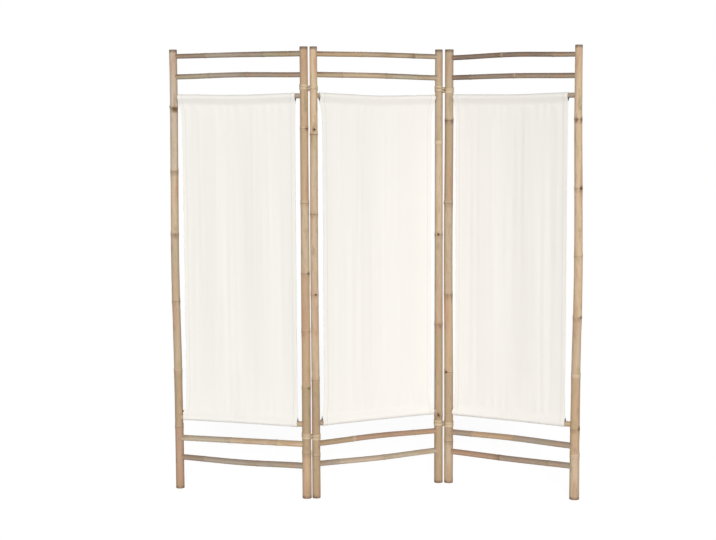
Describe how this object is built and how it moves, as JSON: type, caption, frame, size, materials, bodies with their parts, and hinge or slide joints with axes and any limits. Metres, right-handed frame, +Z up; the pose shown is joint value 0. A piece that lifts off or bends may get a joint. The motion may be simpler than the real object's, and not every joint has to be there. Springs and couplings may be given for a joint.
{
  "type": "accordion folding partition",
  "caption": "Free-standing folding screen of bamboo-framed cotton panels on sawn posts, joined by figure-eight lashed straps so that it folds flat either way.",
  "frame": {"origin": "centre of the bounding box on the floor, at rest", "axes": "+Z up, +X to the right along the unfolded direction as seen in the picture, -Y towards the viewer"},
  "size_m": [1.6498, 0.3234, 1.8],
  "materials": {
    "bamboo_post": "dried natural bamboo culm, satin skin",
    "bamboo_rung": "thin browned bamboo cane, satin skin",
    "bamboo_rod": "thin bamboo rod, satin skin",
    "cotton_cloth": "plain-woven off-white cotton, matt",
    "hinge_strap": "pale split cane strip, satin"
  },
  "bodies": {
    "middle_panel": {"middle_left_post": "bamboo_post", "middle_right_post": "bamboo_post", "middle_top_rung": "bamboo_rung", "middle_second_rung": "bamboo_rung", "middle_upper_rod": "bamboo_rod", "middle_lower_rod": "bamboo_rod", "middle_third_rung": "bamboo_rung", "middle_bottom_rung": "bamboo_rung", "middle_fabric": "cotton_cloth"},
    "left_straps": {"left_upper_strap": "hinge_strap", "left_lower_strap": "hinge_strap"},
    "left_panel": {"left_outer_post": "bamboo_post", "left_inner_post": "bamboo_post", "left_top_rung": "bamboo_rung", "left_second_rung": "bamboo_rung", "left_upper_rod": "bamboo_rod", "left_lower_rod": "bamboo_rod", "left_third_rung": "bamboo_rung", "left_bottom_rung": "bamboo_rung", "left_fabric": "cotton_cloth"},
    "right_straps": {"right_upper_strap": "hinge_strap", "right_lower_strap": "hinge_strap"},
    "right_panel": {"right_inner_post": "bamboo_post", "right_outer_post": "bamboo_post", "right_top_rung": "bamboo_rung", "right_second_rung": "bamboo_rung", "right_upper_rod": "bamboo_rod", "right_lower_rod": "bamboo_rod", "right_third_rung": "bamboo_rung", "right_bottom_rung": "bamboo_rung", "right_fabric": "cotton_cloth"}
  },
  "joints": [
    {"name": "left_strap_fold", "type": "hinge", "parent": "middle_panel", "child": "left_straps", "pos_m": [-0.23178, -0.10044, 0.9], "axis": [0, 0, 1], "range_deg": [-67.5, 36.8]},
    {"name": "left_panel_fold", "type": "hinge", "parent": "left_straps", "child": "left_panel", "pos_m": [-0.2697, -0.10296, 0.9], "axis": [0, 0, 1], "range_deg": [-67.5, 36.8]},
    {"name": "right_strap_fold", "type": "hinge", "parent": "middle_panel", "child": "right_straps", "pos_m": [0.27324, 0.14153, 0.9], "axis": [0, 0, 1], "range_deg": [-62.2, 42.8]},
    {"name": "right_panel_fold", "type": "hinge", "parent": "right_straps", "child": "right_panel", "pos_m": [0.31571, 0.13989, 0.9], "axis": [0, 0, 1], "range_deg": [-62.2, 42.8]}
  ]
}
